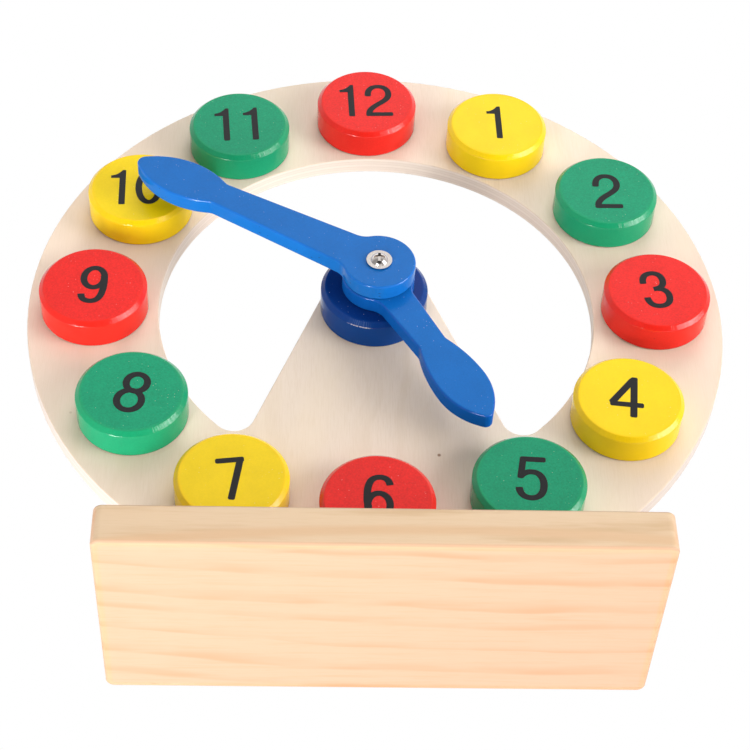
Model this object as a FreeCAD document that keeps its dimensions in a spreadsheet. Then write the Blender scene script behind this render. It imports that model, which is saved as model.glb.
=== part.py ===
"""Wooden teaching clock: a plywood dial on a pine foot, twelve lift-off number blocks and two hands.

Millimetres. +Z is up and the dial faces -Y. The origin lies on the surface that the clock stands on,
under the middle of the dial plate's thickness.
"""
import FreeCAD, Part
import math
import os

import Sketcher

SHEET = "Dims"
OUT_FOLDER = "parts"
ORIGIN_INDEX = -1
X_AXIS_INDEX = -1
Y_AXIS_INDEX = -2
TINY = 1e-4

# Driving dimensions: one spreadsheet row each.
DRIVING = {
    # foot
    "base_width": 150.6,
    "base_depth": 68.2,
    "base_setback": 0.7,
    "base_thickness": 12.1,
    "base_corner_radius": 2.5,
    "base_edge_round": 0.9,
    "groove_depth": 6.2,
    "groove_end_gap": 1.5,
    "seat_gap": 0.05,
    # dial plate
    "dial_radius": 104.4,
    "plate_thickness": 5.6,
    "plate_edge_round": 0.3,
    "ring_width": 38.9,
    "tongue_tip_radius": 17.0,
    "tongue_half_angle": 21.5,
    "lobe_radius": 6.0,
    # painted discs: the number blocks and the hub
    "block_radius": 16.0,
    "block_height": 9.5,
    "block_chamfer": 1.3,
    "block_soft_edge": 0.45,
    "block_back_round": 0.5,
    "block_rest_gap": 0.1,
    "block_inset": 21.4,
    # dowel pegs that carry the number blocks
    "peg_radius": 4.0,
    "peg_standout": 4.5,
    "peg_seat_depth": 4.0,
    "peg_chamfer": 0.8,
    "peg_play": 0.3,
    "peg_head_room": 0.8,
    # hands
    "hand_thickness": 5.2,
    "hand_gap": 0.2,
    "hand_edge_round": 0.6,
    "eye_radius": 10.8,
    "shoulder_radius": 6.0,
    "neck_radius": 3.0,
    "minute_reach": 84.4,
    "minute_tip_radius": 2.6,
    "minute_leaf_half": 7.5,
    "minute_leaf_drop": 16.6,
    "minute_neck_drop": 28.9,
    "minute_neck_half": 4.6,
    "minute_root_half": 6.45,
    "minute_angle": 299.8,
    "hour_reach": 62.1,
    "hour_tip_radius": 2.0,
    "hour_leaf_half": 7.4,
    "hour_leaf_drop": 15.0,
    "hour_neck_drop": 31.1,
    "hour_neck_half": 4.4,
    "hour_root_half": 5.3,
    "hour_angle": 150.6,
    # pivot screw
    "screw_radius": 2.0,
    "screw_bite": 4.2,
    "screw_point_length": 3.0,
    "screw_running_clearance": 0.08,
    "screw_pilot_extra": 0.4,
    "flange_radius": 3.8,
    "flange_thickness": 0.4,
    "dome_radius": 2.6,
    "dome_height": 1.6,
    "recess_arm": 1.6,
    "recess_width": 0.8,
    "recess_depth": 1.2,
}

# Where each number block sits off its place on the hour circle: (to the right, up), in millimetres.
# The blocks were set out by hand, and the 6 is raised to clear the foot.
NUDGES = {
    1: (-2.0, 1.0),
    2: (0.5, 1.5),
    3: (1.0, 0.5),
    4: (-0.5, -0.5),
    5: (-0.5, 0.0),
    6: (-1.0, 3.5),
    7: (0.5, -0.5),
    8: (1.5, -1.0),
    9: (-1.5, -1.5),
    10: (-1.5, -1.0),
    11: (-2.0, -1.5),
    12: (-2.5, -0.5),
}
HUB_NUDGE = -1.0

DEGREES_PER_HOUR = 30
FRONT = "-Dims.plate_thickness / 2"
DIAL_HEIGHT = "Dims.base_thickness - Dims.groove_depth + Dims.dial_radius"
OPENING_RADIUS = "(Dims.dial_radius - Dims.ring_width)"
BLOCK_CIRCLE = "(Dims.dial_radius - Dims.block_inset)"


# ---------------------------------------------------------------- document helpers

def make_sheet(doc):
    """Write every driving dimension into the spreadsheet, as a plain number with an alias."""
    sheet = doc.addObject("Spreadsheet::Sheet", SHEET)
    values = dict(DRIVING)
    for hour, (right, up) in NUDGES.items():
        values[f"block_{hour}_nudge_right"] = right
        values[f"block_{hour}_nudge_up"] = up
    values["hub_nudge_right"] = HUB_NUDGE
    for row, (alias, value) in enumerate(values.items(), start=1):
        sheet.set(f"A{row}", alias)
        sheet.set(f"B{row}", str(value))
        sheet.setAlias(f"B{row}", alias)
    doc.recompute()
    return sheet


def make_body(doc, name):
    body = doc.addObject("PartDesign::Body", name)
    body.Label = name
    return body


def place(body, right="0", forward="0", up="0", turn=None):
    """Bind a body's place to the sheet. A turn is in degrees, clockwise as seen from the front."""
    if turn is not None:
        body.Placement = FreeCAD.Placement(FreeCAD.Vector(), FreeCAD.Rotation(FreeCAD.Vector(0, 1, 0), 1))
        body.setExpression(".Placement.Rotation.Angle", f"{turn} * 1 deg")
    body.setExpression(".Placement.Base.x", right)
    body.setExpression(".Placement.Base.y", forward)
    body.setExpression(".Placement.Base.z", up)


def make_sketch(body, name, plane="XZ_Plane", offset=None):
    """A sketch on one of the body's own planes, lifted off it along the plane's normal by an expression."""
    sketch = body.newObject("Sketcher::SketchObject", name)
    origin_plane = next(item for item in body.Origin.OriginFeatures if item.Role == plane)
    sketch.AttachmentSupport = (origin_plane, "")
    sketch.MapMode = "FlatFace"
    if offset is not None:
        sketch.setExpression(".AttachmentOffset.Base.z", offset)
    return sketch


def dimension(sketch, name, expression, kind, *target):
    """A named dimension whose value comes from an expression. The last target is its first value."""
    index = sketch.addConstraint(Sketcher.Constraint(kind, *target))
    sketch.renameConstraint(index, name)
    sketch.setExpression(f"Constraints.{name}", expression)


def circle(sketch, name, radius, value, right=None, up=None, centre=(0.0, 0.0)):
    """A circle of a bound radius, on the origin unless right and up bind its centre elsewhere."""
    middle = FreeCAD.Vector(centre[0], centre[1], 0)
    ring = sketch.addGeometry(Part.Circle(middle, FreeCAD.Vector(0, 0, 1), value))
    dimension(sketch, f"{name}_radius", radius, "Radius", ring, value)
    if right is None:
        sketch.addConstraint(Sketcher.Constraint("Coincident", ring, 3, ORIGIN_INDEX, 1))
    else:
        dimension(sketch, f"{name}_right", right, "DistanceX", ORIGIN_INDEX, 1, ring, 3, centre[0])
        dimension(sketch, f"{name}_up", up, "DistanceY", ORIGIN_INDEX, 1, ring, 3, centre[1])
    return ring


def centred_rectangle(sketch, name, width, height, half_width, half_height):
    """A rectangle about the origin with a bound width and height."""
    corners = [(-1, -1), (1, -1), (1, 1), (-1, 1)]
    points = [FreeCAD.Vector(x * half_width, y * half_height, 0) for x, y in corners]
    sides = [
        sketch.addGeometry(Part.LineSegment(points[i], points[(i + 1) % 4]))
        for i in range(4)
    ]
    for i in range(4):
        sketch.addConstraint(Sketcher.Constraint("Coincident", sides[i], 2, sides[(i + 1) % 4], 1))
    for i, kind in enumerate(("Horizontal", "Vertical", "Horizontal", "Vertical")):
        sketch.addConstraint(Sketcher.Constraint(kind, sides[i]))
    sketch.addConstraint(Sketcher.Constraint("Symmetric", sides[0], 1, sides[2], 1, ORIGIN_INDEX, 1))
    dimension(sketch, f"{name}_width", width, "DistanceX", sides[0], 1, sides[0], 2, 2 * half_width)
    dimension(sketch, f"{name}_height", height, "DistanceY", sides[1], 1, sides[1], 2, 2 * half_height)


def pad(body, name, sketch, length):
    feature = body.newObject("PartDesign::Pad", name)
    feature.Profile = sketch
    feature.setExpression("Length", length)
    body.Document.recompute()
    return feature


def pocket(body, name, sketch, depth=None, along_normal=False):
    """Cut the sketch into the body: to a bound depth, or right through both ways."""
    feature = body.newObject("PartDesign::Pocket", name)
    feature.Profile = sketch
    feature.Reversed = along_normal
    if depth is None:
        feature.Type = "ThroughAll"
        feature.SideType = "Symmetric"
    else:
        feature.setExpression("Length", depth)
    body.Document.recompute()
    return feature


def edge_names(shape, wanted):
    return [f"Edge{i}" for i, edge in enumerate(shape.Edges, start=1) if wanted(edge)]


def dress(body, kind, name, wanted, expression):
    """Fillet or chamfer the edges of the body's last feature that the wanted test picks."""
    base = body.Tip
    names = edge_names(base.Shape, wanted)
    if not names:
        raise RuntimeError(f"{body.Name}: no edges for {name}")
    feature = body.newObject(f"PartDesign::{kind}", name)
    feature.Base = (base, names)
    feature.setExpression("Radius" if kind == "Fillet" else "Size", expression)
    body.Document.recompute()
    return feature


def lies_at(edge, axis, value):
    """Whether the whole edge lies in the plane where the axis (x, y or z) has this value."""
    box = edge.BoundBox
    low = getattr(box, f"{axis.upper()}Min")
    high = getattr(box, f"{axis.upper()}Max")
    return abs(low - value) < TINY and abs(high - value) < TINY


def runs_along(edge, axis):
    """Whether the edge is a straight one along the axis (x, y or z)."""
    box = edge.BoundBox
    spans = {"x": box.XLength, "y": box.YLength, "z": box.ZLength}
    along = spans.pop(axis)
    return along > TINY and max(spans.values()) < TINY


# ---------------------------------------------------------------- seats

def seat_right(hour):
    angle = DEGREES_PER_HOUR * hour
    return f"{BLOCK_CIRCLE} * sin({angle}) + Dims.block_{hour}_nudge_right"


def seat_up(hour):
    """Height of an hour's seat above the dial's centre."""
    angle = DEGREES_PER_HOUR * hour
    return f"{BLOCK_CIRCLE} * cos({angle}) + Dims.block_{hour}_nudge_up"


def seat_values(sheet, hour):
    """The same two lengths as first values for a sketch."""
    angle = math.radians(DEGREES_PER_HOUR * hour)
    radius = sheet.get("dial_radius") - sheet.get("block_inset")
    right = radius * math.sin(angle) + sheet.get(f"block_{hour}_nudge_right")
    up = radius * math.cos(angle) + sheet.get(f"block_{hour}_nudge_up")
    return right, up


# ---------------------------------------------------------------- foot

def make_base(doc, sheet):
    """Pine foot with rounded corners and a blind groove that the dial plate is glued into.

    The foot's middle stands a little behind the dial's.
    """
    body = make_body(doc, "base_block")
    half_width = sheet.get("base_width") / 2
    half_depth = sheet.get("base_depth") / 2
    thickness = sheet.get("base_thickness")

    outline = make_sketch(body, "base_outline", "XY_Plane")
    outline.setExpression(".AttachmentOffset.Base.y", "Dims.base_setback")
    centred_rectangle(outline, "foot", "Dims.base_width", "Dims.base_depth", half_width, half_depth)
    pad(body, "base_plank", outline, "Dims.base_thickness")
    dress(body, "Fillet", "base_corners", lambda edge: runs_along(edge, "z"), "Dims.base_corner_radius")
    dress(
        body, "Fillet", "base_edges",
        lambda edge: lies_at(edge, "z", 0) or lies_at(edge, "z", thickness),
        "Dims.base_edge_round",
    )

    groove = make_sketch(body, "groove_outline", "XY_Plane", "Dims.base_thickness")
    half_chord = "sqrt(Dims.dial_radius ^ 2 - (Dims.dial_radius - Dims.groove_depth) ^ 2)"
    centred_rectangle(
        groove, "groove",
        f"2 * ({half_chord} + Dims.groove_end_gap)",
        "Dims.plate_thickness + 2 * Dims.seat_gap",
        half_width / 2, sheet.get("plate_thickness") / 2,
    )
    pocket(body, "dial_groove", groove, "Dims.groove_depth")


# ---------------------------------------------------------------- dial plate

def opening_profile(sketch, sheet):
    """The C-shaped opening: a circle, less the tongue, with a round lobe on each side of the tongue's root."""
    opening = sheet.get("dial_radius") - sheet.get("ring_width")
    tip = sheet.get("tongue_tip_radius")
    lobe = sheet.get("lobe_radius")
    lean = math.radians(sheet.get("tongue_half_angle"))
    run = math.sqrt((opening - lobe) ** 2 - (tip + lobe) ** 2)
    normal_z = FreeCAD.Vector(0, 0, 1)

    def arc(centre, radius, start, end):
        ring = Part.Circle(centre, normal_z, radius)
        return sketch.addGeometry(Part.ArcOfCircle(ring, start, end))

    outward = FreeCAD.Vector(math.cos(lean), math.sin(lean), 0)
    down = FreeCAD.Vector(math.sin(lean), -math.cos(lean), 0)
    centre = outward * (tip + lobe) + down * run
    top = outward * tip
    foot = top + down * run
    bearing = math.atan2(centre.y, centre.x)
    line_side = math.pi + lean

    def mirrored(point):
        return FreeCAD.Vector(-point.x, point.y, 0)

    rim = arc(FreeCAD.Vector(), opening, bearing, math.pi - bearing)
    lobe_right = arc(centre, lobe, line_side, 2 * math.pi + bearing)
    side_right = sketch.addGeometry(Part.LineSegment(foot, top))
    tip_arc = arc(FreeCAD.Vector(), tip, lean, math.pi - lean)
    side_left = sketch.addGeometry(Part.LineSegment(mirrored(top), mirrored(foot)))
    lobe_left = arc(mirrored(centre), lobe, math.pi - bearing, 2 * math.pi - lean)

    for ring in (rim, tip_arc):
        sketch.addConstraint(Sketcher.Constraint("Coincident", ring, 3, ORIGIN_INDEX, 1))
    joins = [
        (rim, 1, lobe_right, 2),
        (lobe_right, 1, side_right, 1),
        (side_right, 2, tip_arc, 1),
        (tip_arc, 2, side_left, 1),
        (side_left, 2, lobe_left, 2),
        (lobe_left, 1, rim, 2),
    ]
    for join in joins:
        sketch.addConstraint(Sketcher.Constraint("Tangent", *join))
    sketch.addConstraint(Sketcher.Constraint("Equal", lobe_right, lobe_left))
    dimension(sketch, "rim_radius", OPENING_RADIUS, "Radius", rim, opening)
    dimension(sketch, "tip_radius", "Dims.tongue_tip_radius", "Radius", tip_arc, tip)
    dimension(sketch, "lobe_radius", "Dims.lobe_radius", "Radius", lobe_right, lobe)
    sketch.addConstraint(Sketcher.Constraint("Horizontal", side_right, 2, side_left, 1))
    dimension(
        sketch, "tongue_spread", "2 * Dims.tongue_tip_radius * cos(Dims.tongue_half_angle)",
        "DistanceX", side_left, 1, side_right, 2, 2 * top.x,
    )


def make_dial(doc, sheet):
    """Plywood ring with a tongue up to the middle, blind holes for the pegs and a pilot for the screw."""
    body = make_body(doc, "dial_plate")
    thickness = sheet.get("plate_thickness")

    outline = make_sketch(body, "dial_outline")
    circle(outline, "dial", "Dims.dial_radius", sheet.get("dial_radius"))
    pad(body, "dial_disc", outline, "Dims.plate_thickness")

    opening = make_sketch(body, "opening_outline")
    opening_profile(opening, sheet)
    pocket(body, "dial_opening", opening)
    dress(
        body, "Fillet", "plate_edges",
        lambda edge: lies_at(edge, "y", 0) or lies_at(edge, "y", -thickness),
        "Dims.plate_edge_round",
    )

    holes = make_sketch(body, "peg_hole_outlines", "XZ_Plane", "Dims.plate_thickness")
    hole_radius = "Dims.peg_radius + Dims.seat_gap"
    for hour in NUDGES:
        circle(
            holes, f"hole_{hour}", hole_radius, sheet.get("peg_radius"),
            seat_right(hour), seat_up(hour), seat_values(sheet, hour),
        )
    pocket(body, "peg_holes", holes, "Dims.peg_seat_depth")

    pilot = make_sketch(body, "pilot_outline", "XZ_Plane", "Dims.plate_thickness")
    circle(pilot, "pilot", "Dims.screw_radius + Dims.seat_gap", sheet.get("screw_radius"))
    pocket(body, "screw_pilot", pilot, "Dims.screw_bite + Dims.screw_pilot_extra")
    place(body, forward="Dims.plate_thickness / 2", up=DIAL_HEIGHT)


# ---------------------------------------------------------------- discs and pegs

def turned_disc(doc, sheet, name):
    """A painted wooden disc with a chamfered front, standing on its back face at Y = 0."""
    body = make_body(doc, name)
    height = sheet.get("block_height")
    shoulder = height - sheet.get("block_chamfer")
    outline = make_sketch(body, f"{name}_outline")
    circle(outline, "disc", "Dims.block_radius", sheet.get("block_radius"))
    pad(body, f"{name}_disc", outline, "Dims.block_height")
    dress(
        body, "Chamfer", f"{name}_chamfer",
        lambda edge: lies_at(edge, "y", -height),
        "Dims.block_chamfer",
    )
    dress(
        body, "Fillet", f"{name}_soft_edges",
        lambda edge: lies_at(edge, "y", -height) or lies_at(edge, "y", -shoulder),
        "Dims.block_soft_edge",
    )
    dress(body, "Fillet", f"{name}_back", lambda edge: lies_at(edge, "y", 0), "Dims.block_back_round")
    return body


def make_number_block(doc, sheet, hour):
    """A number block with a blind hole in its back, for its peg."""
    name = f"number_block_{hour}"
    body = turned_disc(doc, sheet, name)
    hole = make_sketch(body, f"{name}_hole_outline")
    circle(hole, "hole", "Dims.peg_radius + Dims.peg_play", sheet.get("peg_radius"))
    depth = "Dims.peg_standout + Dims.peg_head_room"
    pocket(body, f"{name}_peg_hole", hole, depth, along_normal=True)
    place(body, seat_right(hour), f"{FRONT} - Dims.block_rest_gap", f"{DIAL_HEIGHT} + {seat_up(hour)}")


def make_peg(doc, sheet, hour):
    """A dowel glued into the plate, standing out of its front face."""
    name = f"block_peg_{hour}"
    body = make_body(doc, name)
    length = sheet.get("peg_seat_depth") + sheet.get("peg_standout")
    outline = make_sketch(body, f"{name}_outline")
    circle(outline, "peg", "Dims.peg_radius", sheet.get("peg_radius"))
    pad(body, f"{name}_dowel", outline, "Dims.peg_seat_depth + Dims.peg_standout")
    dress(
        body, "Chamfer", f"{name}_chamfer",
        lambda edge: lies_at(edge, "y", -length),
        "Dims.peg_chamfer",
    )
    place(body, seat_right(hour), f"{FRONT} + Dims.peg_seat_depth", f"{DIAL_HEIGHT} + {seat_up(hour)}")


def make_hub(doc, sheet):
    """The disc glued to the tongue, with a hole that the screw bites in. The hole is on the dial's centre."""
    body = turned_disc(doc, sheet, "hub_block")
    hole = make_sketch(body, "hub_hole_outline")
    circle(
        hole, "hole", "Dims.screw_radius + Dims.seat_gap", sheet.get("screw_radius"),
        "-Dims.hub_nudge_right", "0", (-HUB_NUDGE, 0.0),
    )
    pocket(body, "hub_hole", hole)
    place(body, "Dims.hub_nudge_right", FRONT, DIAL_HEIGHT)


# ---------------------------------------------------------------- hands

def hand_profile(sketch, sheet, hand):
    """A round eye, a shank that narrows to a neck, and a leaf of two arcs a side that ends in a round tip."""
    def size(name):
        return sheet.get(f"{hand}_{name}")

    eye = sheet.get("eye_radius")
    reach, tip = size("reach"), size("tip_radius")
    leaf_half, leaf_reach = size("leaf_half"), reach - size("leaf_drop")
    neck_half, neck_reach = size("neck_half"), reach - size("neck_drop")
    root_half = size("root_half")

    tip_rise = reach - tip - leaf_reach
    upper = (leaf_half ** 2 + tip_rise ** 2 - tip ** 2) / (2 * (leaf_half - tip))
    neck_drop = leaf_reach - neck_reach
    swell = leaf_half - neck_half
    lower = (neck_drop ** 2 + swell ** 2) / (2 * swell)
    root_angle = math.acos(root_half / eye)
    root_up = eye * math.sin(root_angle)
    tip_bearing = math.atan2(tip_rise, upper - leaf_half)
    neck_bearing = math.asin(neck_drop / lower)
    normal_z = FreeCAD.Vector(0, 0, 1)

    def arc(x, y, radius, start, end):
        ring = Part.Circle(FreeCAD.Vector(x, y, 0), normal_z, radius)
        return sketch.addGeometry(Part.ArcOfCircle(ring, start, end))

    def line(start, end):
        return sketch.addGeometry(Part.LineSegment(FreeCAD.Vector(*start, 0), FreeCAD.Vector(*end, 0)))

    half_turn = math.pi
    eye_arc = arc(0, 0, eye, half_turn - root_angle, 2 * half_turn + root_angle)
    shank_right = line((root_half, root_up), (neck_half, neck_reach))
    lower_right = arc(leaf_half - lower, leaf_reach, lower, -neck_bearing, 0)
    upper_right = arc(leaf_half - upper, leaf_reach, upper, 0, tip_bearing)
    tip_arc = arc(0, reach - tip, tip, tip_bearing, half_turn - tip_bearing)
    upper_left = arc(upper - leaf_half, leaf_reach, upper, half_turn - tip_bearing, half_turn)
    lower_left = arc(lower - leaf_half, leaf_reach, lower, half_turn, half_turn + neck_bearing)
    shank_left = line((-neck_half, neck_reach), (-root_half, root_up))

    corners = [
        (eye_arc, 2, shank_right, 1),
        (shank_right, 2, lower_right, 1),
        (lower_left, 2, shank_left, 1),
        (shank_left, 2, eye_arc, 1),
    ]
    for corner in corners:
        sketch.addConstraint(Sketcher.Constraint("Coincident", *corner))
    blends = [
        (lower_right, 2, upper_right, 1),
        (upper_right, 2, tip_arc, 1),
        (tip_arc, 2, upper_left, 1),
        (upper_left, 2, lower_left, 1),
    ]
    for blend in blends:
        sketch.addConstraint(Sketcher.Constraint("Tangent", *blend))
    mirrors = [
        (shank_left, 2, shank_right, 1),
        (shank_left, 1, shank_right, 2),
        (upper_left, 2, upper_right, 1),
    ]
    for mirror in mirrors:
        sketch.addConstraint(Sketcher.Constraint("Symmetric", *mirror, Y_AXIS_INDEX))
    sketch.addConstraint(Sketcher.Constraint("Coincident", eye_arc, 3, ORIGIN_INDEX, 1))
    sketch.addConstraint(Sketcher.Constraint("PointOnObject", tip_arc, 3, Y_AXIS_INDEX))
    sketch.addConstraint(Sketcher.Constraint("Horizontal", upper_right, 3, upper_right, 1))
    sketch.addConstraint(Sketcher.Constraint("Horizontal", upper_left, 3, upper_left, 2))

    def bound(name, expression, kind, *target):
        dimension(sketch, name, expression, kind, *target)

    def own(name):
        return f"Dims.{hand}_{name}"

    bound("eye_radius", "Dims.eye_radius", "Radius", eye_arc, eye)
    bound("tip_radius", own("tip_radius"), "Radius", tip_arc, tip)
    bound(
        "tip_centre_up", f"{own('reach')} - {own('tip_radius')}",
        "DistanceY", ORIGIN_INDEX, 1, tip_arc, 3, reach - tip,
    )
    bound("root_right", own("root_half"), "DistanceX", ORIGIN_INDEX, 1, shank_right, 1, root_half)
    bound("neck_right", own("neck_half"), "DistanceX", ORIGIN_INDEX, 1, shank_right, 2, neck_half)
    neck_up = f"{own('reach')} - {own('neck_drop')}"
    leaf_up = f"{own('reach')} - {own('leaf_drop')}"
    bound("neck_up", neck_up, "DistanceY", ORIGIN_INDEX, 1, shank_right, 2, neck_reach)
    bound("leaf_right", own("leaf_half"), "DistanceX", ORIGIN_INDEX, 1, lower_right, 2, leaf_half)
    bound("leaf_up", leaf_up, "DistanceY", ORIGIN_INDEX, 1, lower_right, 2, leaf_reach)
    return root_up


def make_hand(doc, sheet, hand, layers_below):
    """A painted hand with eased edges, lying over the hub and as many hands as are below it."""
    name = f"{hand}_hand"
    body = make_body(doc, name)
    thickness = sheet.get("hand_thickness")
    outline = make_sketch(body, f"{name}_outline")
    root_up = hand_profile(outline, sheet, hand)
    pad(body, f"{name}_blank", outline, "Dims.hand_thickness")

    def corner_at(height):
        def test(edge):
            return runs_along(edge, "y") and abs(edge.CenterOfMass.z - height) < TINY
        return test

    neck_reach = sheet.get(f"{hand}_reach") - sheet.get(f"{hand}_neck_drop")
    dress(body, "Fillet", f"{name}_shoulders", corner_at(root_up), "Dims.shoulder_radius")
    dress(body, "Fillet", f"{name}_neck", corner_at(neck_reach), "Dims.neck_radius")
    dress(
        body, "Fillet", f"{name}_edges",
        lambda edge: lies_at(edge, "y", 0) or lies_at(edge, "y", -thickness),
        "Dims.hand_edge_round",
    )
    hole = make_sketch(body, f"{name}_hole_outline")
    circle(hole, "hole", "Dims.screw_radius + Dims.screw_running_clearance", sheet.get("screw_radius"))
    pocket(body, f"{name}_hole", hole)

    layer = "(Dims.hand_thickness + Dims.hand_gap)"
    forward = f"{FRONT} - Dims.block_height - Dims.hand_gap - {layers_below} * {layer}"
    place(body, "0", forward, DIAL_HEIGHT, f"Dims.{hand}_angle")


# ---------------------------------------------------------------- pivot screw

STACK = "Dims.block_height + 3 * Dims.hand_gap + 2 * Dims.hand_thickness"


def screw_profile(sketch, sheet):
    """Half of the screw's section: x is out from the axis and y is along it, with 0 under the flange."""
    radius = sheet.get("screw_radius")
    flange, thick = sheet.get("flange_radius"), sheet.get("flange_thickness")
    dome, rise = sheet.get("dome_radius"), sheet.get("dome_height")
    point = sheet.get("screw_point_length")
    length = (
        sheet.get("block_height") + 3 * sheet.get("hand_gap")
        + 2 * sheet.get("hand_thickness") + sheet.get("screw_bite")
    )
    sphere = (dome ** 2 + rise ** 2) / (2 * rise)
    start = math.asin((sphere - rise) / sphere)
    ring = Part.Circle(FreeCAD.Vector(0, thick + rise - sphere, 0), FreeCAD.Vector(0, 0, 1), sphere)

    corners = [
        (0, thick + rise),
        (0, -length),
        (radius, point - length),
        (radius, 0),
        (flange, 0),
        (flange, thick),
        (dome, thick),
    ]
    points = [FreeCAD.Vector(x, y, 0) for x, y in corners]
    lines = [
        sketch.addGeometry(Part.LineSegment(points[i], points[i + 1]))
        for i in range(len(points) - 1)
    ]
    axis, tip, shank, under, rim, top = lines
    cap = sketch.addGeometry(Part.ArcOfCircle(ring, start, math.pi / 2))

    for first, second in zip(lines, lines[1:]):
        sketch.addConstraint(Sketcher.Constraint("Coincident", first, 2, second, 1))
    sketch.addConstraint(Sketcher.Constraint("Coincident", top, 2, cap, 1))
    sketch.addConstraint(Sketcher.Constraint("Coincident", cap, 2, axis, 1))
    sketch.addConstraint(Sketcher.Constraint("PointOnObject", axis, 1, Y_AXIS_INDEX))
    sketch.addConstraint(Sketcher.Constraint("PointOnObject", axis, 2, Y_AXIS_INDEX))
    sketch.addConstraint(Sketcher.Constraint("PointOnObject", cap, 3, Y_AXIS_INDEX))
    sketch.addConstraint(Sketcher.Constraint("PointOnObject", under, 1, X_AXIS_INDEX))
    for side in (shank, rim):
        sketch.addConstraint(Sketcher.Constraint("Vertical", side))
    for side in (under, top):
        sketch.addConstraint(Sketcher.Constraint("Horizontal", side))
    origin = (ORIGIN_INDEX, 1)
    dimension(sketch, "shank_radius", "Dims.screw_radius", "DistanceX", *origin, shank, 2, radius)
    dimension(sketch, "flange_radius", "Dims.flange_radius", "DistanceX", *origin, rim, 1, flange)
    dimension(sketch, "dome_radius", "Dims.dome_radius", "DistanceX", *origin, top, 2, dome)
    dimension(sketch, "flange_thickness", "Dims.flange_thickness", "DistanceY", rim, 1, rim, 2, thick)
    dimension(sketch, "dome_rise", "Dims.dome_height", "DistanceY", top, 2, axis, 1, rise)
    dimension(sketch, "length", f"{STACK} + Dims.screw_bite", "DistanceY", axis, 2, *origin, length)
    dimension(sketch, "point_length", "Dims.screw_point_length", "DistanceY", tip, 1, tip, 2, point)


def make_screw(doc, sheet):
    """Pan-head screw with a washer flange and a cross recess. Its axis is its own Z until it is placed."""
    body = make_body(doc, "centre_screw")
    section = make_sketch(body, "screw_section")
    screw_profile(section, sheet)
    turned = body.newObject("PartDesign::Revolution", "screw_blank")
    turned.Profile = section
    turned.ReferenceAxis = (section, ["V_Axis"])
    turned.Angle = 360
    doc.recompute()

    arm, width = sheet.get("recess_arm"), sheet.get("recess_width")
    top = "Dims.flange_thickness + Dims.dome_height"
    for name, across, along in (("recess_across", arm, width), ("recess_along", width, arm)):
        cross = make_sketch(body, f"{name}_outline", "XY_Plane", top)
        spans = {arm: "2 * Dims.recess_arm", width: "Dims.recess_width"}
        centred_rectangle(cross, name, spans[across], spans[along], across, along)
        pocket(body, name, cross, "Dims.recess_depth")

    body.Placement = FreeCAD.Placement(FreeCAD.Vector(), FreeCAD.Rotation(FreeCAD.Vector(1, 0, 0), 90))
    place(body, "0", f"{FRONT} - ({STACK})", DIAL_HEIGHT)


# ---------------------------------------------------------------- checks and export

def check_document(doc):
    """Stop if any object failed, any sub-part is not one valid solid, or a pocket cut nothing."""
    for item in doc.Objects:
        if {"Invalid", "Error"} & set(item.State):
            raise RuntimeError(f"{item.Name} failed: {item.State}")
        if item.TypeId == "PartDesign::Pocket":
            removed = item.BaseFeature.Shape.Volume - item.Shape.Volume
            if removed < TINY:
                raise RuntimeError(f"{item.Name} cut nothing")
        if item.TypeId == "Sketcher::SketchObject" and item.solve() != 0:
            raise RuntimeError(f"{item.Name} has no solution")
    for body in bodies_of(doc):
        shape = body.Shape
        if shape.isNull() or not shape.isValid() or len(shape.Solids) != 1:
            raise RuntimeError(f"{body.Label} is not one valid solid")


def bodies_of(doc):
    return [item for item in doc.Objects if item.TypeId == "PartDesign::Body"]


def export(doc):
    os.makedirs(OUT_FOLDER, exist_ok=True)
    for body in bodies_of(doc):
        body.Shape.exportStep(os.path.join(OUT_FOLDER, f"{body.Label}.step"))
        box = body.Shape.optimalBoundingBox(False)
        print(
            f"{body.Label:18s} volume {body.Shape.Volume:10.1f}  "
            f"x {box.XMin:7.2f} {box.XMax:7.2f}  y {box.YMin:7.2f} {box.YMax:7.2f}  "
            f"z {box.ZMin:7.2f} {box.ZMax:7.2f}"
        )


def main():
    doc = FreeCAD.newDocument("teaching_clock")
    sheet = make_sheet(doc)
    make_base(doc, sheet)
    make_dial(doc, sheet)
    for hour in NUDGES:
        make_peg(doc, sheet, hour)
        make_number_block(doc, sheet, hour)
    make_hub(doc, sheet)
    make_hand(doc, sheet, "hour", 0)
    make_hand(doc, sheet, "minute", 1)
    make_screw(doc, sheet)
    doc.recompute()
    check_document(doc)
    export(doc)


main()
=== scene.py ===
import math

import bmesh
import bpy
from mathutils import Euler, Matrix, Vector
from mathutils.geometry import delaunay_2d_cdt


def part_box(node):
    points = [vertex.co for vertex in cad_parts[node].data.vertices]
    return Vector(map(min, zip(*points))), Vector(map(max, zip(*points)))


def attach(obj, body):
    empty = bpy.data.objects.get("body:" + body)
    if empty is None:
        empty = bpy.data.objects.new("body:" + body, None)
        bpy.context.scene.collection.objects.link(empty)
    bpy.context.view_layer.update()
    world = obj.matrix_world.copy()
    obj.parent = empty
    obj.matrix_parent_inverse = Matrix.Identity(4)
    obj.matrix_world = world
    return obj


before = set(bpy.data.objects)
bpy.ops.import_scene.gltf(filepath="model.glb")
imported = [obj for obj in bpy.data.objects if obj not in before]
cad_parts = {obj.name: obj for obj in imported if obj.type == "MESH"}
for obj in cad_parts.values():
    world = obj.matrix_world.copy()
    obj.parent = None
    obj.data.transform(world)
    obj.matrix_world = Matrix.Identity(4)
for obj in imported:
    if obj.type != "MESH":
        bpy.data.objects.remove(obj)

# The looks of a wooden teaching clock: pine foot, birch plywood dial, painted number blocks and hands.
# Metres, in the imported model's own frame: +Z up, the dial faces -Y, the foot stands on Z = 0.
# The patterns of the materials and the outlines of the numerals are in millimetres.

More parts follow.
